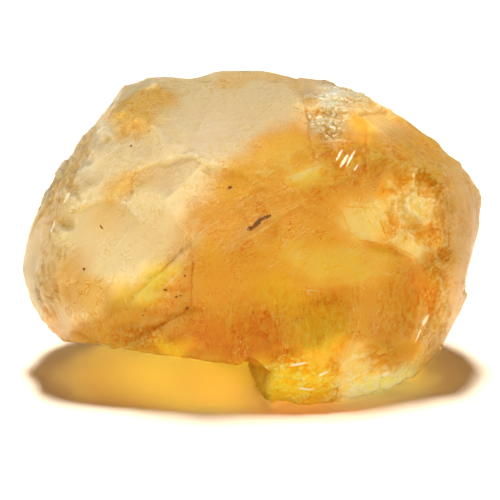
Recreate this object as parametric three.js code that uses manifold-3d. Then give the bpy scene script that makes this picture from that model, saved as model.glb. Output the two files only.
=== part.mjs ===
// A rough piece of citrine: one broken chunk of yellow quartz, 45 mm wide, lying on a flat foot.
// Quartz has no cleavage, so every face of it is a conchoidal fracture. The solid is made the way the
// stone was. A blank with the outline of the piece loses one flake after another, and each flake
// leaves a shallow dished scar, rippled round the point where the break began.
// Units are millimetres, +Z is up and -Y is the front.
import * as THREE from "three";
import { ImprovedNoise } from "three/addons/math/ImprovedNoise.js";
import { mergeVertices } from "three/addons/utils/BufferGeometryUtils.js";
import Module from "manifold-3d";

const wasm = await Module();
wasm.setup();

// ---------------------------------------------------------------- driving dimensions
const LEAN = THREE.MathUtils.degToRad(16); // the girdle, the widest outline, leans back by this
const GIRDLE_HEIGHT = 13.2; // from the surface it lies on to the middle of the girdle
const BLANK = { depth: 15.5, back: 1, fullness: 0.6 }; // half depth, where its middle is, boxiness
const CORE = new THREE.Vector3(23.4, 13.8, 18.4); // half sizes of the core, which no scar goes far into
const CORE_MIDDLE = new THREE.Vector3(0, 1.3, -1);

// The girdle, clockwise from the left tip: across, up.
const OUTLINE = [
  [-22.5, -1.7], [-21.6, 1.0], [-19.9, 4.1], [-18.2, 7.6], [-16.3, 10.1], [-13.9, 12.9],
  [-12.5, 15.1], [-10.8, 15.8], [-8.3, 15.8], [-5.9, 15.5], [-4.6, 15.7], [-3.6, 16.4],
  [1.2, 16.3], [4.9, 15.6], [7.4, 15.5], [10.8, 14.1], [14.5, 12.1], [17.2, 10.1],
  [18.5, 9.0], [21.2, 8.2], [22.7, 6.5], [22.8, 3.7], [22.5, 0.8], [21.5, -2.4],
  [20.8, -4.2], [21.6, -5.4], [20.6, -7.4], [18.4, -11.2], [15.9, -14.0], [14, -16.6],
  [4.9, -18.4], [-6.5, -17.0], [-14.2, -14.0], [-19.1, -9.6], [-21.3, -6.6], [-22.3, -3.6],
];

// ---------------------------------------------------------------- solids
const relief = new ImprovedNoise(); // smooth random heights, one lump to a unit

function solidOf(geometry) {
  const bare = geometry.clone();
  bare.deleteAttribute("normal");
  bare.deleteAttribute("uv");
  const merged = mergeVertices(bare, 1e-4);
  return new wasm.Manifold(
    new wasm.Mesh({
      numProp: 3,
      vertProperties: merged.attributes.position.array,
      triVerts: new Uint32Array(merged.index.array),
    }),
  );
}

function geometryOf(solid) {
  const mesh = solid.getMesh();
  const geometry = new THREE.BufferGeometry();
  geometry.setAttribute("position", new THREE.BufferAttribute(mesh.vertProperties, 3));
  geometry.setIndex(new THREE.BufferAttribute(mesh.triVerts, 1));
  geometry.computeVertexNormals();
  return geometry;
}

// Moves each point of a geometry to where a function puts it.
function reshape(geometry, move) {
  const spots = geometry.attributes.position;
  const spot = new THREE.Vector3();
  for (let i = 0; i < spots.count; i++) {
    spot.fromBufferAttribute(spots, i);
    move(spot);
    spots.setXYZ(i, spot.x, spot.y, spot.z);
  }
  return geometry;
}

// ---------------------------------------------------------------- the girdle frame
// The blank and nearly all flakes are set out upright, about the middle of the girdle, then leaned back.
const leanBack = new THREE.Matrix4().makeRotationX(-LEAN).setPosition(0, 0, GIRDLE_HEIGHT);

// How far the girdle lies from its middle at an angle.
function outlineRadius(angle) {
  const ray = new THREE.Vector2(Math.cos(angle), Math.sin(angle));
  let radius = 0;
  OUTLINE.forEach(([ax, ay], i) => {
    const [bx, by] = OUTLINE[(i + 1) % OUTLINE.length];
    const cross = ray.x * (by - ay) - ray.y * (bx - ax);
    const along = (ax * (by - ay) - ay * (bx - ax)) / cross;
    const share = (ax * ray.y - ay * ray.x) / cross;
    if (along > 0 && share >= 0 && share <= 1) radius = Math.max(radius, along);
  });
  return radius;
}

// The same, without the small notches: the mean over a sector.
function softRadius(angle) {
  const STEP = 0.12; // radians
  const EACH_WAY = 2;
  let sum = 0;
  for (let i = -EACH_WAY; i <= EACH_WAY; i++) sum += outlineRadius(angle + i * STEP);
  return sum / (2 * EACH_WAY + 1);
}

// The blank: a lens-like body round the girdle, with a lumpy rind.
function blank() {
  const AROUND = 130;
  const THROUGH = 22;
  const LUMP = 4;
  const ROUGH = 0.03;
  const EDGE = 3; // the notches fade out this far from the girdle
  const geometry = new THREE.SphereGeometry(1, AROUND, THROUGH);
  reshape(geometry, (spot) => {
    const out = spot.y; // the sphere's poles point to the front and back
    const angle = Math.atan2(spot.z, spot.x);
    const width = Math.pow(Math.max(1 - out * out, 0), BLANK.fullness / 2);
    const off = Math.min(1, (Math.abs(out) * BLANK.depth) / EDGE);
    const edge = outlineRadius(angle);
    const radius = (edge + off * (softRadius(angle) - edge)) * width;
    const depth = BLANK.back + out * BLANK.depth;
    spot.set(radius * Math.cos(angle), depth, radius * Math.sin(angle));
    const lump = relief.noise(spot.x / LUMP, spot.y / LUMP, spot.z / LUMP);
    spot.multiplyScalar(1 - ROUGH * off * (0.6 + lump));
  });
  return solidOf(geometry.applyMatrix4(leanBack));
}

// Where the core's surface faces a direction.
function onCore(faces) {
  const pull = faces.clone().multiply(CORE).multiply(CORE);
  return pull.divideScalar(Math.sqrt(pull.dot(faces))).add(CORE_MIDDLE);
}

// What a flake takes off: a block whose underside is the scar. The scar touches the core where it
// faces, or lies at a given place, and cut is how much deeper than the core it goes. It is a bowl of
// radius hollow, with ripples about PITCH apart round a point near its edge, where the break began.
// A ledge is where the break stepped down, at a distance from its start.
let cutters = 0; // each cutter made gets other random heights
function flake({ at, faces, cut = 0, hollow = 70, uneven = 0.5, ledge = { run: 100, height: 0 } }) {
  const REACH = 30; // half the width of the block, and its height
  const CELL = 1.55; // of its underside
  const START = 13; // from the middle of the scar to where the break began
  const PITCH = 4.2;
  const RIPPLE = 0.25; // height of a ripple near the start
  const FADE = 30; // distance over which ripples die down to a half
  const PATCH = 6; // size of the patches with ripples and without
  const SWELL = 8; // size of the slow swells
  const seed = ++cutters;
  const outward = new THREE.Vector3(...faces).normalize();
  const middle = at ? new THREE.Vector3(...at) : onCore(outward);
  const startX = START * Math.cos(seed * 2.4);
  const startZ = START * Math.sin(seed * 2.4);
  const cells = Math.round((2 * REACH) / CELL);
  const geometry = new THREE.BoxGeometry(2 * REACH, REACH, 2 * REACH, cells, 1, cells);
  geometry.translate(0, REACH / 2, 0);
  reshape(geometry, (spot) => {
    if (spot.y > 1) return;
    const { x, z } = spot;
    const bowl = (x * x + z * z) / (2 * hollow);
    const swell = relief.noise(x / SWELL, z / SWELL, seed * 3);
    const run = Math.hypot(x - startX, z - startZ);
    const phase = run / PITCH + 1.4 * relief.noise(x / SWELL, z / SWELL, seed);
    const strength = Math.max(0, 0.35 + relief.noise(x / PATCH, seed, z / PATCH)) / (1 + run / FADE);
    const wave = RIPPLE * strength * (1 - 2 * Math.abs(Math.sin(Math.PI * phase)));
    const stray = 1.5 * relief.noise(x / PATCH, z / PATCH, seed);
    const step = run > ledge.run + stray ? ledge.height : 0;
    spot.y = bowl + uneven * swell + wave - step;
  });
  geometry.translate(0, -cut, 0);
  const turn = new THREE.Quaternion().setFromUnitVectors(new THREE.Vector3(0, 1, 0), outward);
  return geometry.applyQuaternion(turn).translate(middle.x, middle.y, middle.z);
}

// A chip: a lumpy ball, which leaves a deeper little scar where it bites into the stone.
function chip(middle, size) {
  const LUMP = 2;
  const LUMP_HEIGHT = 0.35;
  const geometry = new THREE.SphereGeometry(size, 22, 14);
  const seed = ++cutters;
  reshape(geometry, (spot) => {
    const lump = relief.noise(spot.x / LUMP + seed, spot.y / LUMP, spot.z / LUMP);
    spot.setLength(size + LUMP_HEIGHT * lump);
  });
  return geometry.rotateX(seed).translate(middle.x, middle.y, middle.z);
}

// ---------------------------------------------------------------- the scars, before leaning back
const FRONT = {
  crown: { faces: [-0.3, -0.5, 0.8], hollow: 40, ledge: { run: 14, height: 0.5 } },
  left_rim_high: { faces: [-0.62, -0.5, 0.55], cut: 0.3, hollow: 50 },
  left_rim: { faces: [-0.78, -0.6, 0.2], cut: -0.9, hollow: 40 },
  left_cheek: { faces: [-0.7, -0.7, -0.15], cut: -1.2, hollow: 50 },
  upper_left: { faces: [-0.31, -0.81, 0.46], ledge: { run: 16, height: 0.5 } },
  upper_middle: { faces: [0.0, -0.81, 0.58], cut: 0.2, hollow: 60 },
  lower_left: { faces: [-0.36, -0.93, -0.02], cut: 0.3, hollow: 80 },
  left_band: { faces: [-0.24, -0.93, -0.3] },
  centre: { faces: [0.02, -0.98, 0.2], cut: 0.2, hollow: 55 },
  gold_window: { faces: [0.12, -0.99, -0.06], cut: 0.1, ledge: { run: 15, height: 0.4 } },
  granular: { faces: [0.2, -0.78, 0.6], cut: 0.7, hollow: 30, uneven: 0.8 },
  upper_right: { faces: [0.41, -0.7, 0.58], cut: 0.3, hollow: 60 },
  window_high: { faces: [0.42, -0.89, 0.17], cut: 0.5, hollow: 35, ledge: { run: 13, height: 0.5 } },
  right_rim: { faces: [0.82, -0.55, 0.15], cut: 0.2, hollow: 60 },
  orange_patch: { faces: [0.48, -0.86, -0.2], cut: 0.4, hollow: 35 },
  lower_right: { faces: [0.7, -0.6, -0.38], cut: 0.4, hollow: 60 },
  deep_orange: { faces: [-0.04, -0.96, -0.28], hollow: 80 },
};

const BACK = {
  top_back: { faces: [-0.1, 0.55, 0.83], hollow: 50 },
  top_right_back: { faces: [0.5, 0.4, 0.75], hollow: 50 },
  top_left_back: { faces: [-0.55, 0.4, 0.7], hollow: 60 },
  back_upper: { faces: [0.15, 0.9, 0.4], cut: 0.4, hollow: 50 },
  back_left: { faces: [-0.6, 0.78, 0.1], cut: -1.8 },
  back_right: { faces: [0.62, 0.75, 0.15], cut: -1.2, hollow: 45 },
  back_centre: { faces: [-0.15, 0.97, -0.1], hollow: 60 },
  right_end: { faces: [0.93, 0.3, -0.15], cut: -1.8 },
  left_end: { faces: [-0.9, 0.4, -0.1], cut: -2 },
  back_lower_right: { faces: [0.45, 0.75, -0.45], cut: 0.2 },
  back_lower_left: { faces: [-0.4, 0.8, -0.4], cut: -0.8 },
};

let stone = blank();
function take(cutter) {
  stone = stone.subtract(solidOf(cutter));
}
for (const spec of [...Object.values(FRONT), ...Object.values(BACK)]) {
  take(flake(spec).applyMatrix4(leanBack));
}

// Narrow flakes off the edge of the girdle, from the front and from the back. Each starts a little
// way in front of the widest line or behind it, so that the outline is kept. The lobe at the right end
// and the foot have none on their fronts. The left and right ends are blunt: flakes slant less there.
const RIM = { flakes: 14, start: 0.7, proud: 0.2, hollow: 26, uneven: 0.4 };
const SLANT = { mean: 0.75, vary: 0.3, blunt: 0.7 };
for (let i = 0; i < RIM.flakes; i++) {
  for (const side of [-1, 1]) {
    const angle = (2 * Math.PI * (i + 0.25 * side)) / RIM.flakes;
    const whole = Math.cos(angle) > 0.8 || Math.sin(angle) < -0.7;
    if (side < 0 && whole) continue;
    const end = Math.cos(angle) ** 2; // 1 at the left and right ends, 0 at the top
    const slant = (SLANT.mean + SLANT.vary * Math.sin(3.7 * i + side)) * (1 - SLANT.blunt * end);
    const radius = outlineRadius(angle) + RIM.proud;
    const start = BLANK.back + side * RIM.start;
    const at = [radius * Math.cos(angle), start, radius * Math.sin(angle)];
    const faces = [Math.cos(angle), side * slant, Math.sin(angle)];
    take(flake({ at, faces, hollow: RIM.hollow, uneven: RIM.uneven }).applyMatrix4(leanBack));
  }
}

// Chips all over. Each stops short of the core, so it bites only the ridges between the scars.
const CHIPS = { count: 34, smallest: 6, largest: 15, short: 0.55 };
const GOLDEN_ANGLE = Math.PI * (3 - Math.sqrt(5));
for (let i = 0; i < CHIPS.count; i++) {
  const high = 1 - (2 * (i + 0.5)) / CHIPS.count;
  const round = Math.sqrt(1 - high * high);
  const turn = i * GOLDEN_ANGLE;
  const outward = new THREE.Vector3(round * Math.cos(turn), high, round * Math.sin(turn));
  const share = (i * 0.618) % 1;
  const size = CHIPS.smallest + (CHIPS.largest - CHIPS.smallest) * share * share;
  const middle = onCore(outward).addScaledVector(outward, size + CHIPS.short);
  take(chip(middle, size).applyMatrix4(leanBack));
}

// A natural pit in the middle of the front: a short slot where an inclusion has fallen out.
const PIT = { at: [0.9, -12.3, 1.6], half: [1.1, 0.45, 0.35], slope: 0.65 };
const pit = new THREE.SphereGeometry(1, 14, 10).scale(...PIT.half).rotateY(-PIT.slope);
take(pit.translate(...PIT.at).applyMatrix4(leanBack));

// ---------------------------------------------------------------- underside and foot, upright
// The front left of the piece overhangs: its underside is one scar, which stops at the side of the foot.
// The foot's side is narrow in front and spreads to the left further back, where the piece stands on it.
const underside = flake({ at: [-8.3, -6, 3.85], faces: [-0.1, -0.227, -0.957], hollow: 200 });
const footSide = flake({ at: [1, -9, 1], faces: [-0.98, -0.12, -0.15], hollow: 100 });
const footSpread = flake({ at: [-0.3, 1, 0.5], faces: [-0.85, -0.5, -0.15], hollow: 100 });
const overhang = solidOf(underside).intersect(solidOf(footSide)).intersect(solidOf(footSpread));
stone = stone.subtract(overhang);

const FOOT = {
  front: { at: [5.5, -13.2, 0], faces: [-0.05, -0.97, -0.22], hollow: 60 },
  corner: { at: [11, -10, 0], faces: [0.5, -0.82, -0.25], hollow: 60 },
};
for (const spec of Object.values(FOOT)) take(flake(spec));

// The flat face that the piece rests on.
take(new THREE.BoxGeometry(100, 100, 40).translate(0, 0, -20));

// ---------------------------------------------------------------- the scene graph
const geometry = geometryOf(stone);
geometry.computeBoundingBox();
const { min, max } = geometry.boundingBox;

const material = new THREE.MeshStandardMaterial({ color: 0xe0a23c, roughness: 0.25, metalness: 0 });
const citrine = new THREE.Mesh(geometry, material);
citrine.name = "citrine";
citrine.position.set(-(min.x + max.x) / 2, -(min.y + max.y) / 2, -min.z);

const part = new THREE.Group();
part.add(citrine);
export default part;
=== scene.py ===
import math

import bmesh
import bpy
import numpy as np
from mathutils import Matrix, Vector
from mathutils.kdtree import KDTree


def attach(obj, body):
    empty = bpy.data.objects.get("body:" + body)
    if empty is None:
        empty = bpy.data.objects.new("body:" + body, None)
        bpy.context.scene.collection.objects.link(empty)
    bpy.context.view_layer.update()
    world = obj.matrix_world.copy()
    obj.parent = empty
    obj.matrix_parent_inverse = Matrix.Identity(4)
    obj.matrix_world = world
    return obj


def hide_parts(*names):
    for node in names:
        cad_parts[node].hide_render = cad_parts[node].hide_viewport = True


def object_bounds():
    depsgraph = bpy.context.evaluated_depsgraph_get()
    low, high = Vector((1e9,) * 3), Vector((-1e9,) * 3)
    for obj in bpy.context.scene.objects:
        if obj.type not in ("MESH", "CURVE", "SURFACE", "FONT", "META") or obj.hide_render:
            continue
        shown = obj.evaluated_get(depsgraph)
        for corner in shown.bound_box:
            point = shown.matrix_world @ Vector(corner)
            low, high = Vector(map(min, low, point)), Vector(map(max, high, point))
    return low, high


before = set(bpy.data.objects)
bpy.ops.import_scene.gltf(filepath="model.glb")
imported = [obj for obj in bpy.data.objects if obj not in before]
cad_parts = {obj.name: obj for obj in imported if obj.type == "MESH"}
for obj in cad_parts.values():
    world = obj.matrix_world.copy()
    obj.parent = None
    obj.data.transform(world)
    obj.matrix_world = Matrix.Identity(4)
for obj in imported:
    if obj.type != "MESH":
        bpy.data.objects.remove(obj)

cad_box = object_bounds()
scene = bpy.context.scene

# The stone: one rough citrine, a natural piece of clear quartz coloured amber by iron, with a
# milky end. It was knocked off a larger crystal, so shell-shaped breaks with sharp rims
# between them cover all of it, and it rests on one flat break. Nothing holds it.
MM = 0.001
GIRDLE_MIDDLE = Vector((-0.205, -1.44, 13.2)) * MM  # the middle of its widest outline
LEAN = math.radians(16)  # how far that outline leans back
to_row = (
    Matrix.Translation(GIRDLE_MIDDLE)
    @ Matrix.Rotation(-LEAN, 4, "X")
    @ Matrix.Scale(MM, 4)
)
lean_axes = np.array(to_row.to_3x3()) / MM

# Its skin is a fine, even mesh of quads laid over the plain solid.
GRAIN = 0.25 * MM  # the spacing of the fine mesh
WELD = 0.001 * MM  # corners this close are one
welded = bmesh.new()
welded.from_mesh(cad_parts["citrine"].data)
bmesh.ops.remove_doubles(welded, verts=welded.verts, dist=WELD)
rough_mesh = bpy.data.meshes.new("citrine_stone")
welded.to_mesh(rough_mesh)
welded.free()
stone = bpy.data.objects.new("citrine_stone", rough_mesh)
scene.collection.objects.link(stone)
voxels = stone.modifiers.new("grain", "REMESH")
voxels.mode = "VOXEL"
voxels.voxel_size = GRAIN
bpy.context.view_layer.update()
shape = stone.evaluated_get(bpy.context.evaluated_depsgraph_get())
skin = bpy.data.meshes.new_from_object(shape)
stone.modifiers.clear()
stone.data = skin

in_row = np.empty((len(skin.vertices), 3))
skin.vertices.foreach_get("co", in_row.reshape(-1))
# Places on the stone: across, back and up, in millimetres from the girdle's middle.
places = (in_row - np.array(GIRDLE_MIDDLE)) @ lean_axes / MM
corners = np.empty(len(skin.loops), int)
skin.loops.foreach_get("vertex_index", corners)
edges = np.empty(len(skin.loops), int)
skin.loops.foreach_get("edge_index", edges)
quads = corners.reshape(-1, 4)
shared = np.bincount(corners, minlength=len(places))[:, None]

# The four quads that share an edge with each quad.
by_edge = np.argsort(edges, kind="stable")
owners = by_edge // 4
beside = np.empty(len(edges), int)
beside[by_edge[0::2]] = owners[1::2]
beside[by_edge[1::2]] = owners[0::2]
beside = beside.reshape(-1, 4)


def faces_of(places):
    """The directions that the quads face, and their middles."""
    a, b, c, d = (places[quads[:, corner]] for corner in range(4))
    facing = np.cross(c - a, d - b)
    return facing / np.linalg.norm(facing, axis=1, keepdims=True), (a + b + c + d) / 4


def spread(values):
    """Values of the quads, averaged onto the points that they share."""
    values = values.reshape(len(quads), -1)
    sums = [np.bincount(corners, np.repeat(v, 4), len(places)) for v in values.T]
    return np.stack(sums, axis=1) / shared


def smooth(value, low, high):
    """0 up to the low value and 1 from the high one on, with a rounded rise between them."""
    part = np.clip((value - low) / (high - low), 0, 1)
    return part * part * (3 - 2 * part)


def outward(places):
    """The directions that the skin faces at its points."""
    facing = spread(faces_of(places)[0])
    return facing / np.linalg.norm(facing, axis=1, keepdims=True)


# The plain solid's flat triangles are evened out inside each break, and the rims stay sharp:
# first the directions of the quads, and then the points, moved to fit those directions.
SAME_BREAK = 0.12  # how unlike the directions inside one break may be
EVEN_PASSES = 60
FIT_PASSES = 30
facing = faces_of(places)[0]
for _ in range(EVEN_PASSES):
    others = facing[beside]
    unlike = ((others - facing[:, None]) ** 2).sum(axis=2)
    share = np.exp(-unlike / (2 * SAME_BREAK**2))
    facing = facing + (others * share[:, :, None]).sum(axis=1)
    facing /= np.linalg.norm(facing, axis=1, keepdims=True)
for _ in range(FIT_PASSES):
    middles = faces_of(places)[1]
    pull = np.zeros_like(places)
    for corner in range(4):
        at = quads[:, corner]
        off = ((middles - places[at]) * facing).sum(axis=1)
        for axis in range(3):
            pull[:, axis] += np.bincount(at, off * facing[:, axis], len(places))
    places += pull / shared

# Random values and arrows, one for each cell of a block that repeats through space.
CELLS = 32
LAYER_SHIFT = 7.3  # cells between one layer of lumps and the next
chance = np.random.default_rng(11)
lattice = chance.random((CELLS, CELLS, CELLS)) * 2 - 1
arrows = chance.normal(size=(CELLS, CELLS, CELLS, 3))


def rough(places, size, layers=3):
    """Smooth random values from about -1 to 1, in lumps of a size given in millimetres."""
    total, height = 0, 1
    for layer in range(layers):
        spot = places / size + layer * LAYER_SHIFT
        cell = np.floor(spot).astype(int)
        part = spot - cell
        part = part * part * (3 - 2 * part)
        for corner in np.ndindex(2, 2, 2):
            weight = np.where(corner, part, 1 - part).prod(axis=1)
            total = total + height * weight * lattice[tuple(((cell + corner) % CELLS).T)]
        size, height = size / 2, height / 2
    return total


WANDER = 0.3  # how far the border between two small breaks wanders
JITTER = 0.35  # how far a small break lies from the middle of its cell
UNEVEN = 0.4  # how much one small break outgrows another
SLOPE = 0.35  # how steeply a small break is tilted
FAR_APART = (0, 31, 67)  # shifts that make three directions vary apart


def broken(places, size, stretch=(1, 1, 1), hollow=0.5):
    """Heights, in sizes, of a skin of many small breaks, each with a slope of its own."""
    bend = np.stack([rough(places + shift, size) for shift in FAR_APART], 1)
    bent = places + WANDER * size * bend
    spot = bent / (size * np.array(stretch))
    cell = np.floor(spot).astype(int)
    nearest = np.full(len(places), np.inf)
    height = np.zeros(len(places))
    for step in np.ndindex(3, 3, 3):
        at = tuple(((cell + step - 1) % CELLS).T)
        off = spot - (cell + step - 0.5) - JITTER * np.clip(arrows[at], -1, 1)
        gap = (off**2).sum(axis=1) + UNEVEN * lattice[at]
        here = SLOPE * (off * arrows[at][:, ::-1]).sum(axis=1) + hollow * (off**2).sum(axis=1)
        height = np.where(gap < nearest, here, height)
        nearest = np.minimum(gap, nearest)
    return height


# The separate breaks: quads that join without a sharp turn.
SHARP_TURN = 0.024
joined = ((facing[beside] - facing[:, None]) ** 2).sum(axis=2) < SHARP_TURN**2
breaks = np.arange(len(quads))
while True:
    lowest = np.minimum(np.where(joined, breaks[beside], breaks[:, None]).min(axis=1), breaks)
    lowest = lowest[lowest]
    if (lowest == breaks).all():
        break
    breaks = lowest

# How sharply the skin turns at each point, which is most on the rims between two breaks.
turning = 1 - np.linalg.norm(spread(facing), axis=1)

# Rims that are rounded over: middle (across, up), half sizes, and passes of rounding.
ROUNDING_FADE = 1.6  # how soon the rounding dies away towards the patch's edge
NOT_BEYOND = 6.0  # the rounding stays in front of this far back
ROUNDED = (
    ((-1.0, 10.2), (8.5, 3.2), 160),
    ((-14.0, 6.5), (3.5, 4.5), 60),
    ((-10.0, 0.0), (3.0, 5.0), 60),
    ((0.9, 1.6), (2.2, 1.8), 160),
)
for (across, up), (wide, high), passes in ROUNDED:
    near = np.hypot((places[:, 0] - across) / wide, (places[:, 2] - up) / high)
    share = np.clip(ROUNDING_FADE * (1 - near), 0, 1)[:, None] * (places[:, 1:2] < NOT_BEYOND)
    for _ in range(passes):
        places += share * (spread(faces_of(places)[1]) - places)

# Each break spread from one point on its edge: low waves lie round that point, and fine
# straight cracks run away from it.
LEAST_BREAK = 200  # quads, below which a break has no waves
EDGE_OUT = 0.7  # how far out the starting point lies, for the break's size
WAVE = 1.5  # from one wave to the next, and how much that may vary
WAVE_STRETCH = (0.7, 1.3)
WAVE_HEIGHT = 0.07
WAVE_FLOOR = 0.6  # the part of each wave that lies below the skin
WAVE_WANDER = 0.5
CRACK_DEPTH = 0.02
CRACKS_ROUND = 1.2  # how fast the cracks change round the starting point
CRACKS_ALONG = 0.12  # and away from it, which is slowly, so they look straight
LUMP = 3.0
LUMP_HEIGHT = 0.07
SWOLLEN = 0.12  # lifts the skin, as the steps and chips then cut it back
facing_out = outward(places)
relief = rough(places, LUMP, 4) * LUMP_HEIGHT + SWOLLEN
middles = faces_of(places)[1]
for name in np.unique(breaks):
    mine = breaks == name
    if mine.sum() < LEAST_BREAK:
        continue
    middle = middles[mine].mean(axis=0)
    reach = np.sqrt(mine.sum()) * GRAIN / MM * EDGE_OUT
    toward = np.cross(facing[mine].mean(axis=0), chance.normal(size=3))
    toward /= np.linalg.norm(toward)
    sideways = np.cross(facing[mine].mean(axis=0), toward)
    start = middle + toward * reach
    held = spread(mine * 1.0)[:, 0]
    inside = held > 0
    away = places[inside] - start
    far = np.linalg.norm(away, axis=1) + rough(places[inside], 2.5, 2) * WAVE_WANDER
    turn = np.arctan2(away @ sideways, away @ toward)
    wave = np.abs(np.sin(far / WAVE * math.pi * chance.uniform(*WAVE_STRETCH)))
    fan = np.stack([turn * reach * CRACKS_ROUND, far * CRACKS_ALONG, far * 0], axis=1)
    crack = rough(fan, 0.5, 2)
    fade = held[inside] * (0.5 + 0.5 * rough(places[inside], 5.0, 1))
    waves = (wave - WAVE_FLOOR) * WAVE_HEIGHT
    cracks = crack * CRACK_DEPTH * far / reach
    relief[inside] += fade * (waves + cracks)
places += facing_out * relief[:, None]


LINE_LUMP = 1.6
LINE_WANDER = 0.25


def line_side(line, places):
    """How far places lie from a drawn line that wanders a little: above 0 on its left."""
    best = np.full(len(places), np.inf)
    side = np.zeros(len(places))
    wobble = np.stack([rough(places + shift, LINE_LUMP, 2) for shift in (0, 9)], 1)
    flat = places[:, [0, 2]] + LINE_WANDER * wobble
    for start, end in zip(line[:-1], line[1:]):
        start, end = np.array(start), np.array(end)
        run = end - start
        along = np.clip((flat - start) @ run / (run @ run), 0, 1)
        away = flat - start - along[:, None] * run
        length = np.linalg.norm(away, axis=1)
        cross = run[0] * (flat - start)[:, 1] - run[1] * (flat - start)[:, 0]
        nearer = length < best
        best[nearer] = length[nearer]
        side[nearer] = np.sign(cross[nearer])
    return side * best


# Steps: a drawn line (across, up), how far the skin drops on its right, or on its left where
# that is below 0, and how soon it rises again.
STEPPED = 3.0  # steps stay in front of this far back
FADED_OUT = 4  # times its reach, and the drop has gone
STEPS = (
    (((-7.2, 7.5), (-5.7, 8.0), (-2.5, 6.5)), 0.35, 3.0),
    (((-4.6, 11.6), (-5.4, 9.6), (-6.3, 7.6)), 0.2, 2.0),
    (((-16.5, 2.9), (-15.1, 3.5), (-13.5, 3.8), (-11.7, 2.6)), 0.3, 2.5),
    (((-6.8, -1.6), (-8.8, -3.5), (-11.0, -5.6)), 0.3, 2.5),
    (((-5.5, -0.8), (-5.4, -4.1), (-5.7, -7.2)), 0.2, 1.5),
    (((-5.7, -7.2), (-7.6, -7.8), (-10.3, -9.5)), 0.45, 1.2),
    (((9.3, 0.6), (10.8, -0.2), (13.4, -0.5), (16.4, -2.2), (18.3, -3.2)), 0.25, 2.0),
    (((11.0, 10.9), (11.2, 8.7), (11.0, 6.7)), 0.25, 1.5),
    (((19.2, 7.0), (19.3, 3.0), (19.1, -1.2), (18.4, -4.5)), -0.2, 2.0),
    (((5.4, 12.5), (9.0, 12.3), (12.5, 12.5)), 0.4, 1.5),
    (((-2.0, -1.2), (3.4, 2.3)), 0.15, 0.6),
    (((5.8, -4.6), (8.0, -4.7), (12.0, -3.8)), 0.2, 1.5),
    (((5.0, 14.8), (5.6, 12.5), (6.0, 10.0)), 0.35, 1.5),
    (((-14.5, 14.0), (-16.5, 10.5), (-18.3, 7.0), (-20.5, 2.5)), -0.3, 1.2),
    (((14.9, -15.0), (15.6, -12.0), (17.4, -8.5), (18.2, -5.0)), -0.3, 1.5),
    (((9.0, 15.0), (12.0, 13.4), (15.0, 11.2), (18.0, 9.0)), 0.3, 1.0),
)
front = places[:, 1] < STEPPED
for line, drop, reach in STEPS:
    off = line_side(line, places)
    near = front & (np.abs(off) < FADED_OUT * reach)
    below = np.clip(-off if drop > 0 else off, 0, None)
    fall = np.where(below > 0, abs(drop) * np.exp(-below / reach), 0) * near
    places -= outward(places) * fall[:, None]


# The points near any place, which the chips further down ask for.
nearby = KDTree(len(places))
for number, place in enumerate(places):
    nearby.insert(place, number)
nearby.balance()

# Patches of small breaks: middle (across, up), half sizes, size of a break, its stretch, how steep.
CRUMBLED = (
    ((7.3, 11.2), (2.4, 1.9), 0.9, (1, 1, 1.0), 0.65),
    ((8.6, 13.9), (3.6, 1.5), 1.2, (1.5, 1, 0.8), 0.6),
    ((4.6, -13.4), (4.4, 2.6), 1.3, (1.6, 1, 0.7), 0.5),
    ((11.6, -13.0), (4.2, 2.8), 1.5, (1.6, 1, 0.7), 0.42),
    ((-10.8, -9.4), (3.6, 1.2), 0.9, (1.6, 1, 0.7), 0.45),
    ((-18.4, 4.5), (1.8, 6.0), 1.8, (0.8, 1, 1.6), 0.4),
    ((-19.6, -5.0), (1.5, 3.5), 1.4, (0.8, 1, 1.5), 0.35),
    ((18.0, -2.0), (1.6, 8.5), 1.3, (0.7, 1, 1.8), 0.42),
    ((15.2, 3.6), (2.8, 5.0), 2.2, (1.2, 1, 1.0), 0.42),
    ((14.6, -6.6), (2.4, 3.4), 1.0, (0.6, 1, 2.4), 0.35),
    ((1.0, -7.6), (3.6, 3.0), 1.0, (0.6, 1, 2.4), 0.25),
    ((6.8, -8.6), (3.0, 3.0), 1.3, (0.7, 1, 2.0), 0.3),
    ((9.6, 7.4), (3.5, 2.4), 1.6, (1.6, 1, 0.8), 0.4),
    ((-12.8, 11.0), (2.2, 3.0), 1.2, (1, 1, 1.0), 0.15),
    ((-8.0, 14.6), (3.0, 1.0), 1.2, (1.6, 1, 0.7), 0.3),
    ((-16.2, 8.4), (1.4, 3.0), 1.1, (1, 1, 1.4), 0.35),
    ((-8.6, -6.0), (2.8, 2.2), 1.6, (2.0, 1, 0.7), 0.25),
    ((2.0, 3.0), (5.0, 4.0), 2.4, (2.0, 1, 0.8), 0.12),
)
PATCH_HEIGHT = 0.75
PATCH_RAGGED = 0.35  # how uneven the border of a patch is
PATCH_EDGE = (-1.25, -0.7)  # from where a patch starts to where it is full, inwards
FULLY_CRUMBLED = 0.6  # as steep as this, a patch also looks crumbled through and through
BACK_BREAK = 1.8
BACK_STEEP = 0.3
BACK_CRUMBLED = 0.5
behind = smooth(places[:, 1], 0.0, 5.0)
wild = behind * smooth(rough(places, 9.0, 2), 0.0, 0.6)
heights = wild * BACK_STEEP * BACK_BREAK * broken(places, BACK_BREAK)
crumble = BACK_CRUMBLED * wild
wander = rough(places, 1.5, 3)
for (across, up), (wide, high), size, stretch, steep in CRUMBLED:
    off = np.hypot((places[:, 0] - across) / wide, (places[:, 2] - up) / high)
    share = (1 - behind) * smooth(PATCH_RAGGED * wander - off, *PATCH_EDGE)
    inside = share > 0
    small = broken(places[inside] + 3 * across, size, stretch)
    heights[inside] += share[inside] * PATCH_HEIGHT * steep * size * small
    crumble = np.maximum(crumble, share * min(steep / FULLY_CRUMBLED, 1))
places += outward(places) * heights[:, None]

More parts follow.
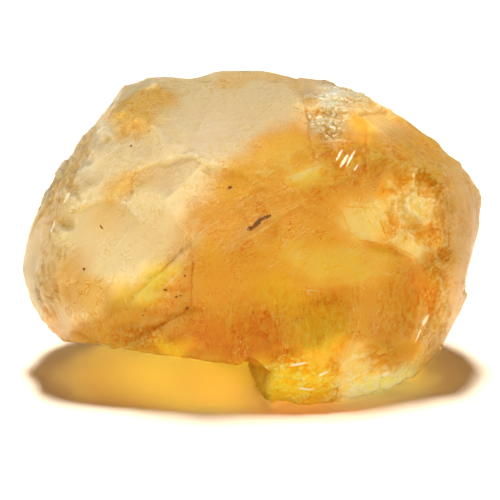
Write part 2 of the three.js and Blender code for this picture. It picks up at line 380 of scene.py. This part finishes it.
# Small chips knocked out of the sharp rims. Each is a shallow bowl, tilted at random.
CHIPS = 500
CHIP_TILT = 0.2
FIRST_RADIUS = 0.6
MORE_RADIUS = 1.8
FIRST_DEPTH = 0.03
MORE_DEPTH = 0.16
LEAST_TURN = 0.03  # rims that turn less than this keep their edge
MOST_TURN = 0.06  # and beyond this much more, no rim is chipped more often
whole = places.copy()
whole_out = outward(places)
worn = np.clip(turning - LEAST_TURN, 0, MOST_TURN)
for point in chance.choice(len(places), CHIPS, replace=False, p=worn / worn.sum()):
    size = chance.uniform(0.3, 1.0) ** 2
    radius = FIRST_RADIUS + MORE_RADIUS * size
    depth = FIRST_DEPTH + MORE_DEPTH * size
    toward = whole_out[point] + chance.normal(size=3) * CHIP_TILT
    toward /= np.linalg.norm(toward)
    hollow = (depth + CHIP_TILT * radius) / radius**2
    found = [number for _, number, _ in nearby.find_range(whole[point], radius * 1.1)]
    off = places[found] - whole[point] + toward * depth
    height = off @ toward
    over = height - hollow * ((off**2).sum(axis=1) - height**2)
    places[found] -= toward * np.clip(over, 0, None)[:, None]

# Where the skin stands out from its surroundings, close by and further round, from -1 in a
# groove to 1 on an edge.
CLOSE_HEIGHT = 0.02
WIDE_HEIGHT = 0.06
WIDE_PASSES = 8
facing_out = outward(places)
around = spread(faces_of(places)[1])
proud = ((places - around) * facing_out).sum(axis=1) / CLOSE_HEIGHT
around = places
for _ in range(WIDE_PASSES):
    around = spread(faces_of(around)[1])
proud += ((places - around) * facing_out).sum(axis=1) / WIDE_HEIGHT
proud = np.clip(proud, -1, 1)

# The finished skin goes back into the row's frame, no larger than the plain solid.
in_row = places * MM @ lean_axes.T + np.array(GIRDLE_MIDDLE)
low, high = (np.array(corner) for corner in cad_box)
in_row = np.clip(in_row, low, high)
skin.vertices.foreach_set("co", in_row.reshape(-1))
skin.update()
skin.shade_smooth()

# Its colours lie in zones, each stored on the skin: amber fills it right of a slanted line,
# and the rest is milky. Red, green and blue say how much of each comes back from the stone.
CREAM = (0.84, 0.74, 0.45)
AMBER = (0.86, 0.45, 0.026)
DEEP = (0.80, 0.28, 0.004)
OCHRE = (0.80, 0.50, 0.09)
TAN = (0.88, 0.48, 0.08)
YELLOW = (1.0, 0.80, 0.12)
PEACH = (0.84, 0.57, 0.20)
HONEY = (0.70, 0.45, 0.14)
SUN = (0.90, 0.76, 0.25)
SHINE = (1.0, 0.95, 0.45)
FROST = (0.92, 0.84, 0.60)
GOLD = (1.0, 0.66, 0.02)
STRAW = (1.0, 0.90, 0.42)
LEMON = (1.0, 0.72, 0.04)
# The slanted line, from the bottom up.
EDGE_UP = (-9.0, -7.5, -5.1, -1.6, 2.5, 4.2, 7.2, 9.8, 12.4)
EDGE_ACROSS = (-17.0, -14.7, -10.7, -7.0, -4.8, -2.7, -1.0, 1.2, 4.9)
BLUR = (-2.4, 2.0)  # where the amber starts and where it is full, from that line
ZONE_LUMP = 2.6
ZONE_WANDER = 0.9
MOTTLE = np.array((0.02, 0.05, 0.07))  # how much each colour varies from place to place
drift = np.stack([rough(places + shift, ZONE_LUMP, 4) for shift in FAR_APART], 1)
warped = places + ZONE_WANDER * drift
past = warped[:, 0] - np.interp(warped[:, 2], EDGE_UP, EDGE_ACROSS)
amber = smooth(past + 0.8 * rough(places, 4.0, 3), *BLUR)
tone = np.array(CREAM) * (1 - amber[:, None]) + np.array(AMBER) * amber[:, None]
tone *= 1 + rough(places, 3.5, 4)[:, None] * MOTTLE

# Patches: middle (across, up), half length, half width, turn in degrees, colour, strength.
PATCHES = (
    ((-10.8, 12.4), 3.6, 1.8, 35, OCHRE, 0.9),
    ((-8.5, 14.6), 2.6, 0.8, 0, OCHRE, 0.8),
    ((-11.6, 5.0), 2.6, 1.5, 30, OCHRE, 0.8),
    ((-13.7, 1.8), 2.2, 1.6, 40, OCHRE, 0.4),
    ((-17.6, -4.6), 3.0, 3.0, 0, HONEY, 1.0),
    ((-18.8, 3.0), 5.5, 1.6, 65, PEACH, 0.8),
    ((-15.8, 10.0), 3.5, 1.2, 60, PEACH, 0.6),
    ((-4.1, 9.6), 3.2, 2.0, 20, FROST, 0.8),
    ((-1.0, 12.5), 4.0, 2.0, 0, CREAM, 0.5),
    ((0.0, 15.5), 5.0, 0.7, 0, PEACH, 0.7),
    ((-11.8, -0.5), 2.2, 3.2, -30, CREAM, 0.8),
    # Painted highlights: the next two pale spots sit where the left rim shines.
    ((-14.4, 10.1), 1.2, 0.7, 30, FROST, 1.0),
    ((-15.2, 6.5), 0.8, 1.0, 0, FROST, 1.0),
    ((-13.7, -6.1), 2.6, 1.6, -30, OCHRE, 0.8),
    ((-9.7, -4.7), 3.0, 1.4, 42, YELLOW, 1.0),
    ((-8.1, -7.0), 3.6, 1.7, 40, TAN, 0.9),
    ((-6.5, -4.8), 1.2, 2.0, 0, TAN, 0.7),
    ((-9.8, -9.2), 2.6, 0.9, 20, TAN, 0.7),
    ((-3.8, -8.8), 2.6, 2.2, 0, DEEP, 1.0),
    ((0.9, -8.8), 2.4, 2.4, 0, DEEP, 0.9),
    ((-2.0, -11.0), 4.5, 1.4, -12, DEEP, 0.9),
    ((-7.0, -9.8), 1.6, 1.0, 0, GOLD, 1.0),
    ((6.8, -9.0), 2.6, 2.6, 0, GOLD, 0.8),
    ((2.4, 7.5), 3.5, 1.6, 20, YELLOW, 0.4),
    ((-1.0, 4.7), 2.5, 2.0, 30, GOLD, 0.4),
    ((5.1, 5.8), 2.5, 0.8, 25, YELLOW, 0.9),
    ((7.3, 11.0), 2.0, 1.5, 0, CREAM, 0.9),
    ((8.6, 13.9), 3.6, 1.4, -20, FROST, 1.0),
    ((12.4, 11.6), 3.4, 1.4, -30, PEACH, 0.9),
    ((15.6, 6.9), 3.5, 1.8, -15, OCHRE, 0.5),
    ((20.5, 3.0), 1.8, 6.5, 0, PEACH, 0.95),
    ((19.6, -6.1), 1.5, 4.0, 15, PEACH, 0.8),
    ((17.7, -9.9), 1.8, 3.2, 30, HONEY, 1.0),
    ((10.7, 1.5), 2.2, 1.9, 0, SUN, 0.9),
    ((15.6, 2.6), 2.1, 2.2, 0, STRAW, 0.75),
    ((15.0, -0.9), 2.6, 1.0, -20, STRAW, 0.7),
    ((7.5, -2.2), 5.5, 1.6, -4, YELLOW, 0.8),
    ((16.1, -5.5), 1.6, 2.2, 0, DEEP, 0.8),
    ((3.0, -5.5), 3.0, 1.5, 0, GOLD, 0.7),
    # Painted glow: the next three, on the foot, paint its yellow brighter where light comes
    # through.
    ((4.0, -14.0), 3.6, 2.0, 0, LEMON, 1.0),
    ((9.7, -12.3), 2.0, 1.2, 40, STRAW, 0.75),
    ((12.2, -14.4), 4.4, 2.0, 16, SHINE, 1.0),
    ((0.7, 0.6), 3.4, 0.28, 33, PEACH, 0.8),
    # Painted light: the foot's left corner, which lies in shade, is painted gold.
    ((1.2, -14.2), 0.9, 2.2, 0, GOLD, 0.9),
    ((-19.1, -8.5), 2.5, 1.2, -35, TAN, 0.7),
)
COLOUR_RAGGED = 0.2
COLOUR_EDGE = (-1.45, -0.45)
seen = smooth(-places[:, 1], -6.0, -2.0)  # the patches lie on the front alone
mixed = rough(places, 1.4, 4)
for (across, up), length, width, turn, colour, strength in PATCHES:
    turn = math.radians(turn)
    right = warped[:, 0] - across
    above = warped[:, 2] - up
    along = (right * math.cos(turn) + above * math.sin(turn)) / length
    aside = (above * math.cos(turn) - right * math.sin(turn)) / width
    share = strength * smooth(COLOUR_RAGGED * mixed - np.hypot(along, aside), *COLOUR_EDGE)
    share = (seen * share)[:, None]
    tone = tone * (1 - share) + np.array(colour) * share

DEEP_LOOK = 6  # passes of blurring, as the colours lie some way in
for _ in range(DEEP_LOOK):
    tone = spread(tone[quads].mean(axis=1))

# The back is a little darker. Edges get a painted highlight, and grooves painted shade, most
# of all where the skin is crumbled.
BACK_DARKER = 0.2
EDGE_AND_GROOVE_SHADING = 0.12
CRUMBLED_SHADING = 0.3
LEAST_TONE = 0.001
tone = np.clip(tone * (1 - BACK_DARKER * behind[:, None]), LEAST_TONE, 1)
shade_and_highlight = smooth(-proud, 0.1, 1.0) - 0.7 * smooth(proud, 0.2, 1.0)
tone **= 1 + ((EDGE_AND_GROOVE_SHADING + CRUMBLED_SHADING * crumble) * shade_and_highlight)[:, None]

# How milky it is: most at the pale end, and less where that end faces up.
LEAST_MILK = 0.45
MORE_MILK = 0.4
MILK_EDGE = (-1.3, -0.6)
level = smooth((facing_out @ lean_axes.T)[:, 2], 0.3, 0.9) * seen
milk = LEAST_MILK + MORE_MILK * (1 - amber) * (1 - level)
# Milkier patches in the amber: middle (across, up), half sizes, how much.
MILKIER = (
    ((7.5, -13.6), (9.0, 3.4), 0.42),
    ((12.4, -14.6), (3.4, 1.8), 0.8),
    ((10.0, 12.5), (5.0, 3.0), 0.4),
    ((18.0, -8.5), (3.0, 5.0), 0.3),
    ((15.0, 2.0), (3.4, 4.0), 0.3),
    ((-9.6, -4.6), (3.2, 2.2), 0.16),
    ((-7.2, -9.8), (2.4, 1.2), 0.18),
    ((10.5, 1.6), (2.4, 2.4), 0.12),
)
for (across, up), (wide, high), more in MILKIER:
    off = np.hypot((warped[:, 0] - across) / wide, (warped[:, 2] - up) / high)
    milk += seen * more * smooth(-off, *MILK_EDGE)
milk = np.clip(milk, 0, 1)


def keep(name, values):
    """Stores one value or colour for each point of the skin."""
    kind = "FLOAT" if values.ndim == 1 else "FLOAT_COLOR"
    layer = skin.attributes.new(name, kind, "POINT")
    if kind == "FLOAT":
        layer.data.foreach_set("value", values.astype(np.float32))
    else:
        values = np.concatenate([values, np.ones((len(values), 1))], axis=1)
        layer.data.foreach_set("color", values.astype(np.float32).reshape(-1))


keep("tone", tone)
keep("milk", milk)
keep("crumble", crumble)


class Wire:
    """One output of a shader node, used in plain arithmetic."""

    def __init__(self, tree, socket=None):
        self.tree = tree
        self.socket = socket

    def add(self, kind, settings=(), inputs=(), output=0):
        """Adds a node: its type, its settings, its sockets' values or wires, and which output."""
        node = self.tree.nodes.new("ShaderNode" + kind)
        for name, setting in dict(settings).items():
            setattr(node, name, setting)
        for name, value in dict(inputs).items():
            if isinstance(value, Wire):
                self.tree.links.new(value.socket, node.inputs[name])
            else:
                node.inputs[name].default_value = value
        return Wire(self.tree, None if output is None else node.outputs[output])

    def math(self, operation, *others):
        return self.add("Math", {"operation": operation}, enumerate((self, *others)))

    def __add__(self, other):
        return self.math("ADD", other)

    def __sub__(self, other):
        return self.math("SUBTRACT", other)

    def __rsub__(self, other):
        return self * -1 + other

    def __mul__(self, other):
        return self.math("MULTIPLY", other)

    __radd__ = __add__
    __rmul__ = __mul__


# The material: clear quartz and cloudy quartz, mixed by how milky each place is. Places and
# marks in it are in millimetres, across, back and up from the girdle's middle.
citrine = bpy.data.materials.new("citrine")
citrine.use_nodes = True
citrine.node_tree.nodes.clear()
shader = Wire(citrine.node_tree)
place = shader.add(
    "Mapping",
    {},
    {
        "Vector": shader.add("TexCoord", output=3),
        "Location": to_row.inverted().translation,
        "Rotation": (LEAN, 0, 0),
        "Scale": (1 / MM, 1 / MM, 1 / MM),
    },
)
toward_right = shader.add("SeparateXYZ", {}, {0: place}, 0)
toward_front = shader.add("SeparateXYZ", {}, {0: place}, 1) * -1
toward_floor = shader.add("SeparateXYZ", {}, {0: place}, 2) * -1
tone_wire = shader.add("Attribute", {"attribute_name": "tone"})
milk_wire = shader.add("Attribute", {"attribute_name": "milk"}, output=2)
crumble_wire = shader.add("Attribute", {"attribute_name": "crumble"}, output=2)


def ramp(value, low, high):
    """0 up to the low value and 1 from the high one on, with a rounded rise between them."""
    return shader.add(
        "MapRange",
        {"interpolation_type": "SMOOTHSTEP"},
        {"Value": value, "From Min": low, "From Max": high},
    )


def grains(scale, detail=3, rough=0.5, warp=0):
    """Cloudy noise around 0.5, with its lumps one part in scale of a millimetre wide."""
    return shader.add(
        "TexNoise",
        {"noise_dimensions": "3D"},
        {"Vector": place, "Scale": scale, "Detail": detail, "Roughness": rough, "Distortion": warp},
    )


def blend(mask, under, over):
    """The first colour where the mask is 0 and the second where it is 1."""
    return shader.add("Mix", {"data_type": "RGBA"}, {0: mask, 6: under, 7: over}, 2)


def strokes(turn, length, width):
    """Noise drawn out into short strokes, turned in the across and up plane."""
    laid = shader.add(
        "Mapping",
        {"vector_type": "TEXTURE"},
        {"Vector": place, "Rotation": (0, turn, 0), "Scale": (length, width, width)},
    )
    return shader.add(
        "TexNoise",
        {"noise_dimensions": "3D"},
        {"Vector": laid, "Scale": 1.0, "Detail": 4, "Roughness": 0.6, "Distortion": 0.6},
    )


# Hackle: fine strokes on the breaks, which slant over most of the stone and stand upright
# low down. In the crumbled patches small cells join them.
CELLS_PER_MM = 1.7
BUMP_HEIGHT = 0.3 * MM
slanted = strokes(turn=math.radians(-35), length=1.0, width=0.15)
upright = strokes(turn=math.radians(80), length=1.1, width=0.16)
hackle = slanted + ramp(toward_floor, 2.0, 6.0) * (upright - slanted)
RAGGED = 0.5  # how far the edges of small marks wander
wobble = grains(2.5, detail=3, rough=0.7)
wobble = shader.add("VectorMath", {"operation": "SCALE"}, {0: wobble, "Scale": RAGGED})
ragged = shader.add("VectorMath", {"operation": "ADD"}, {0: place, 1: wobble})
cells = shader.add(
    "TexVoronoi",
    {"feature": "DISTANCE_TO_EDGE"},
    {"Vector": ragged, "Scale": CELLS_PER_MM},
)
grainy = ramp(crumble_wire, 0.45, 1.0)
grit = grains(2.5, detail=8, rough=0.7)
height = hackle * (crumble_wire + 0.5) + grit * 0.6 + cells * grainy * 1.5
bumps = shader.add("Bump", {}, {"Strength": 1.0, "Distance": BUMP_HEIGHT, "Height": height})

# Painted shading, as a power of the colour: above 1 it is darker and redder, below 1 paler.
# The strokes and small cells of the bumps get painted shade in their grooves and painted
# highlights on their tops.
STROKE_SHADE = 1.7
STROKE_HIGHLIGHT = 0.8
CELL_SHADE = 0.7
CELL_HIGHLIGHT = 0.45
patchy = ramp(grains(0.5), 0.42, 0.66) * 0.8 + 0.15
patchy = patchy * (1 - ramp(milk_wire, 0.5, 0.8) * 0.6)
stroke_shade = ramp(hackle * -1, -0.44, -0.30) * patchy
stroke_highlight = ramp(hackle, 0.54, 0.70) * patchy
cell_shade = ramp(cells * -1, -0.12, -0.01) * grainy
cell_highlight = ramp(cells, 0.16, 0.34) * grainy
painted_shading = stroke_shade * STROKE_SHADE - stroke_highlight * STROKE_HIGHLIGHT + 1
painted_shading = painted_shading + cell_shade * CELL_SHADE - cell_highlight * CELL_HIGHLIGHT

# Marks are drawn one by one: (across, up), half length, half width, turn in degrees.
MARK_DEPTH = 12.0  # half of how deep they reach, which is through the front half alone


def marks(rows):
    """1 inside the marks of a table and 0 outside them."""
    total = 0.0
    for (across, up), length, width, turn in rows:
        own = shader.add(
            "Mapping",
            {"vector_type": "TEXTURE"},
            {
                "Vector": ragged,
                "Location": (across + RAGGED / 2, -MARK_DEPTH, up + RAGGED / 2),
                "Rotation": (0, -math.radians(turn), 0),
                "Scale": (length, MARK_DEPTH, width),
            },
        )
        spot = shader.add("TexGradient", {"gradient_type": "SPHERICAL"}, {"Vector": own}, 1)
        total = spot + total
    return ramp(total, 0.05, 0.5)


SEAM_SHADE = 0.8
GLEAM_HIGHLIGHT = 0.35
# Thin seams, where one break steps down to the next, painted dark as shade along the step.
SHADED_SEAMS = (
    ((10.2, 2.94), 1.9, 0.10, -3),
    ((12.6, 1.2), 1.9, 0.10, -70),
    ((9.1, 1.5), 1.7, 0.10, -66),
    ((11.4, -0.4), 1.7, 0.12, -14),
    ((14.9, -1.35), 1.9, 0.12, -30),
    ((17.6, -2.75), 1.6, 0.12, -24),
    ((-8.9, -3.6), 3.2, 0.12, 44),
    ((-5.5, -4.1), 3.3, 0.09, 88),
    ((-7.9, -8.0), 2.8, 0.12, 28),
    ((11.1, 8.6), 2.6, 0.10, 88),
    ((5.3, 12.4), 2.6, 0.12, 100),
    ((2.0, 12.8), 3.4, 0.08, 42),
    ((-5.5, 7.4), 1.9, 0.10, 20),
    ((-4.3, 6.2), 1.9, 0.10, -32),
    ((14.0, -13.0), 2.0, 0.13, 70),
    ((8.3, -14.8), 1.3, 0.10, 80),
    ((10.6, -13.3), 2.6, 0.11, 24),
    ((11.6, -11.2), 1.8, 0.10, 38),
    ((17.3, -10.4), 2.0, 0.10, 62),
)
# Gleams: pale lines painted where light comes out along an edge, as painted highlights.
PAINTED_GLEAMS = (
    ((0.1, 0.05), 4.2, 0.18, 33),
    ((5.1, 6.1), 2.3, 0.45, 24),
    ((3.5, 7.6), 1.2, 0.12, 35),
    ((1.5, 5.8), 1.3, 0.12, 38),
    ((-0.5, 3.4), 1.4, 0.12, 40),
    ((-3.0, -0.6), 1.5, 0.12, 50),
    ((-6.6, -3.2), 3.0, 0.14, 44),
    ((19.2, 3.0), 4.0, 0.12, 95),
    ((18.6, -5.0), 3.2, 0.14, 75),
    ((13.0, -3.4), 1.2, 0.14, -25),
    ((6.0, -5.0), 2.0, 0.14, -4),
    ((13.5, 5.2), 1.8, 0.16, -40),
    ((10.0, -9.0), 2.4, 0.14, 70),
    ((12.4, -8.0), 2.2, 0.12, 65),
    ((6.5, -8.8), 1.8, 0.10, 75),
    ((-15.6, 4.0), 1.8, 0.14, 62),
    ((-12.2, -0.2), 1.2, 0.12, 50),
    ((-13.0, 8.6), 2.0, 0.12, 40),
    ((2.8, -12.1), 2.4, 0.16, 6),
    ((5.2, -13.4), 2.6, 0.20, 3),
    ((9.4, -13.6), 1.8, 0.18, 20),
    ((14.6, -12.6), 1.8, 0.18, 66),
    ((12.8, -11.9), 1.6, 0.14, 40),
    ((15.9, -11.8), 1.3, 0.14, 58),
    ((11.0, -14.2), 1.8, 0.20, 14),
)
# Painted shade along the seams and painted highlights along the gleams.
painted_shading = painted_shading + marks(SHADED_SEAMS) * SEAM_SHADE - marks(PAINTED_GLEAMS) * GLEAM_HIGHLIGHT

# Wrinkles: fine squiggles with no bump under them, each with painted shade on one side
# and a painted highlight on the other.
FOLD_SHADE = 0.55
FOLD_HIGHLIGHT = 0.3
folds = grains(1.1, detail=4, rough=0.55, warp=0.8)
wrinkled = ramp(grains(0.4, detail=2), 0.46, 0.60)
fold_shade = ramp((folds - 0.5).math("ABSOLUTE") * -1, -0.035, -0.008) * wrinkled
fold_highlight = ramp((folds - 0.545).math("ABSOLUTE") * -1, -0.03, -0.008) * wrinkled
painted_shading = painted_shading + fold_shade * FOLD_SHADE - fold_highlight * FOLD_HIGHLIGHT
colour = shader.add("Gamma", {}, {"Color": tone_wire, "Gamma": painted_shading})

# Specks, and a slot where an inclusion fell out.
RUST = (0.11, 0.026, 0.0, 1)
RUST_SHARE = 0.95
SPECKS = (
    ((0.0, 0.9), 0.45, 0.36, 10),
    ((0.7, 1.4), 0.80, 0.36, 48),
    ((1.5, 1.95), 0.80, 0.28, 18),
    ((-1.9, 4.8), 0.30, 0.24, 0),
    ((-11.4, 8.8), 0.24, 0.18, 0),
    ((-8.4, 13.8), 0.22, 0.18, 30),
    ((-15.9, -3.0), 0.24, 0.20, 0),
    ((-6.2, -3.6), 0.20, 0.18, 0),
    ((-8.0, -4.9), 0.20, 0.18, 0),
    ((-7.0, -5.6), 0.20, 0.16, 0),
    ((-6.6, -5.5), 0.18, 0.16, 0),
    ((-6.0, -6.7), 0.24, 0.18, 0),
    ((-10.2, -7.4), 0.20, 0.16, 0),
    ((-14.2, 1.0), 0.40, 0.13, -50),
)
specks = marks(SPECKS)
colour = blend(specks * RUST_SHARE, colour, RUST)

# Painted highlights: little faces painted white where they would shine, and a painted
# sparkle in the most crumbled patch.
PAINTED_HIGHLIGHT = (1.0, 0.93, 0.74, 1)
HIGHLIGHT_SHARE = 0.9
PAINTED_GLINTS = (
    ((8.5, 7.9), 0.8, 0.14, 62),
    ((9.0, 7.4), 1.0, 0.20, 58),
    ((9.6, 7.6), 1.2, 0.16, 61),
    ((10.1, 6.7), 0.5, 0.10, 55),
    ((16.9, -7.9), 1.0, 0.30, 60),
    ((16.2, -9.4), 1.0, 0.14, 68),
    ((-14.6, 10.4), 0.9, 0.25, 40),
    ((-17.6, 3.8), 0.8, 0.2, 60),
    ((12.9, -13.2), 0.8, 0.3, 30),
    ((4.6, -12.0), 1.1, 0.18, 12),
    ((7.0, -12.9), 0.7, 0.14, 25),
    ((5.4, -14.4), 1.0, 0.16, -6),
    ((9.8, -14.6), 0.8, 0.18, 22),
    ((6.6, 11.6), 0.5, 0.2, 20),
    ((8.0, 10.6), 0.5, 0.18, -30),
    ((9.5, 13.4), 1.5, 0.16, -20),
    ((7.2, 14.2), 1.3, 0.15, -50),
    ((11.5, 12.4), 1.3, 0.14, -30),
    ((-18.9, 1.2), 0.9, 0.16, 75),
)
sparkle = ramp(grains(1.4, detail=3, rough=0.6), 0.52, 0.6) * ramp(crumble_wire, 0.94, 1.0)
sparkle = cell_highlight * sparkle
painted_glints = (marks(PAINTED_GLINTS) + sparkle).math("MINIMUM", 1.0)
colour = blend(painted_glints * HIGHLIGHT_SHARE, colour, PAINTED_HIGHLIGHT)

# The clear and the cloudy quartz. Both are glossy, and the clear one is the paler.
QUARTZ_IOR = 1.544
CLEAR_SHARE = 0.7  # how much of the colour the clear quartz has in its skin
CLOUD_DEPTH = 6 * MM  # how far light wanders in the cloudy quartz
WHITE = (1, 1, 1, 1)
WARM_SHINE = (1.0, 0.75, 0.4, 1)
glass = shader.add(
    "BsdfPrincipled",
    {},
    {
        "Base Color": blend(CLEAR_SHARE, WHITE, colour),
        "Roughness": 0.08,
        "IOR": QUARTZ_IOR,
        "Specular Tint": WARM_SHINE,
        "Transmission Weight": 1.0,
        "Normal": bumps,
    },
)
cloud = shader.add(
    "BsdfPrincipled",
    {},
    {
        "Base Color": colour,
        "Roughness": 0.16,
        "IOR": QUARTZ_IOR,
        "Specular Tint": WARM_SHINE,
        "Subsurface Weight": 0.5,
        "Subsurface Radius": (1.0, 0.75, 0.4),
        "Subsurface Scale": CLOUD_DEPTH,
        "Normal": bumps,
    },
)
cloudy = (milk_wire + specks + painted_glints).math("MINIMUM", 1.0)
body = shader.add("MixShader", {}, {0: cloudy, 1: glass, 2: cloud})


def tint(red, green, blue):
    """Lets a part of the lamp's light straight through, which colours the shadow."""
    return shader.add("BsdfTransparent", {}, {"Color": (red, green, blue, 1)})


# The light that it lets through to the floor: golden, tawny in places, brown at its two ends
# and orange in front of the foot.
STONE_ACROSS = 1  # the middle of the stone, and of its foot
FOOT_ACROSS = 7
golden = tint(0.36, 0.46, 1.0)
tawny = tint(0.34, 0.35, 0.55)
brown = tint(0.12, 0.06, 0.02)
orange = tint(0.48, 0.20, 0.03)
# Where each falls is painted by place on the stone: tawny by a noise and towards the front, brown
# at the ends where the skin is edge-on to the lamp, and orange over the foot's front.
uneven = ramp(grains(0.25), 0.38, 0.62) * 0.6 + ramp(toward_front, 0.0, 9.0) * 0.6
uneven = uneven.math("MINIMUM", 1.0)
let_through = shader.add("MixShader", {}, {0: uneven, 1: golden, 2: tawny})
edge_on = shader.add("LayerWeight", {}, {"Blend": 0.5}, 1)
at_ends = ramp((toward_right - STONE_ACROSS).math("ABSOLUTE"), 6.0, 14.0)
browned = ramp(edge_on, 0.1, 0.6) * at_ends
let_through = shader.add("MixShader", {}, {0: browned, 1: let_through, 2: brown})
over_foot = ramp((toward_right - FOOT_ACROSS).math("ABSOLUTE") * -1, -9.0, -4.0)
glowing = ramp(toward_front, 8.0, 10.5) * over_foot
let_through = shader.add("MixShader", {}, {0: glowing, 1: let_through, 2: orange})
shadow_ray = shader.add("LightPath", output=1)
lit = shader.add("MixShader", {}, {0: shadow_ray, 1: body, 2: let_through})
# Thick parts take on more of the amber than thin ones.
AMBER_DEPTH = {"Color": (0.95, 0.88, 0.08, 1), "Density": 190.0}
depth_tint = shader.add("VolumeAbsorption", {}, AMBER_DEPTH)
shader.add("OutputMaterial", {}, {"Surface": lit, "Volume": depth_tint}, None)
skin.materials.clear()
skin.materials.append(citrine)
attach(stone, "root")
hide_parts("citrine")

# The floor: one flat sheet of white card, lit so strongly that it turns plain white. Its slight
# warmth is the card's own colour: it shows only where the floor lies in shadow, and warms that
# shadow.
HALF_SIDE = 2.0
sheet = [(x * HALF_SIDE, y * HALF_SIDE, 0) for x, y in ((-1, -1), (1, -1), (1, 1), (-1, 1))]
card = bpy.data.meshes.new("floor")
card.from_pydata(sheet, [], [(0, 1, 2, 3)])
floor = bpy.data.objects.new("floor", card)
scene.collection.objects.link(floor)
paper = bpy.data.materials.new("white_card")
paper.use_nodes = True
WARM_WHITE = (1, 0.86, 0.68, 1)
plain = paper.node_tree.nodes["Principled BSDF"]
plain.inputs["Base Color"].default_value = WARM_WHITE
plain.inputs["Roughness"].default_value = 0.9
plain.inputs["Specular IOR Level"].default_value = 0.0
card.materials.append(paper)

# The room: warm walls in bright and dim patches, fading to dark overhead, so that the clear
# parts of the stone have something to bend and reflect.
world = bpy.data.worlds.new("room")
scene.world = world
world.use_nodes = True
world.node_tree.nodes.clear()
room = Wire(world.node_tree)
WALL_COLOUR = (1, 0.76, 0.5, 1)
direction = room.add("TexCoord", output=0)
upwards = room.add("SeparateXYZ", {}, {0: direction}, 2)
fading = room.add(
    "MapRange",
    {"interpolation_type": "SMOOTHSTEP"},
    {"Value": upwards, "From Min": 0.1, "From Max": 0.5, "To Min": 1.0, "To Max": 0.03},
)
blotches = room.add("TexNoise", {}, {"Vector": direction, "Scale": 2.2, "Detail": 1.0})
panels = room.add(
    "MapRange",
    {"interpolation_type": "SMOOTHSTEP"},
    {"Value": blotches, "From Min": 0.45, "From Max": 0.55, "To Min": 0.1, "To Max": 0.5},
)
walls = room.add("Background", {}, {"Color": WALL_COLOUR, "Strength": panels * fading})
room.add("OutputWorld", {}, {"Surface": walls}, None)

# The lamps: a soft box above and a little behind the stone, which makes the short shadow in
# front, and a wide low one in front and to the right, which lights the face.
LAMP_AWAY = 1.5


def soft_box(name, side, width, height, watts, colour):
    """A rectangular lamp on one side of the stone, turned towards it."""
    light = bpy.data.lights.new(name, "AREA")
    light.shape = "RECTANGLE"
    light.size = width
    light.size_y = height
    light.energy = watts
    light.color = colour
    holder = bpy.data.objects.new(name, light)
    scene.collection.objects.link(holder)
    side = Vector(side).normalized()
    holder.location = side * LAMP_AWAY
    holder.rotation_euler = side.to_track_quat("Z", "Y").to_euler()


WHITE_LIGHT = (1.0, 1.0, 1.0)
WARM_LIGHT = (1.0, 0.86, 0.64)
soft_box("overhead", (-0.02, 0.22, 1.0), width=0.20, height=0.42, watts=35.0, colour=WHITE_LIGHT)
soft_box("fill", (0.3, -1.0, 0.11), width=1.0, height=0.22, watts=16.5, colour=WARM_LIGHT)

# The camera: a long lens in front of the stone, looking down on it a little and aimed just
# below the middle of its widest outline.
ELEVATION = math.radians(16)
DISTANCE = 360 * MM
AIM_BELOW = 1.18 * MM
LENS = 264.4  # the focal length, on a sensor 36 wide
lens = bpy.data.cameras.new("camera")
lens.sensor_width = 36
lens.lens = LENS
lens.clip_start = 0.01
camera = bpy.data.objects.new("camera", lens)
scene.collection.objects.link(camera)
scene.camera = camera
toward = Vector((0, -math.cos(ELEVATION), math.sin(ELEVATION)))
upward = Vector((0, math.sin(ELEVATION), math.cos(ELEVATION)))
camera.location = GIRDLE_MIDDLE + toward * DISTANCE
look = GIRDLE_MIDDLE - upward * AIM_BELOW - camera.location
camera.rotation_euler = look.to_track_quat("-Z", "Y").to_euler()
scene.view_settings.view_transform = "Standard"
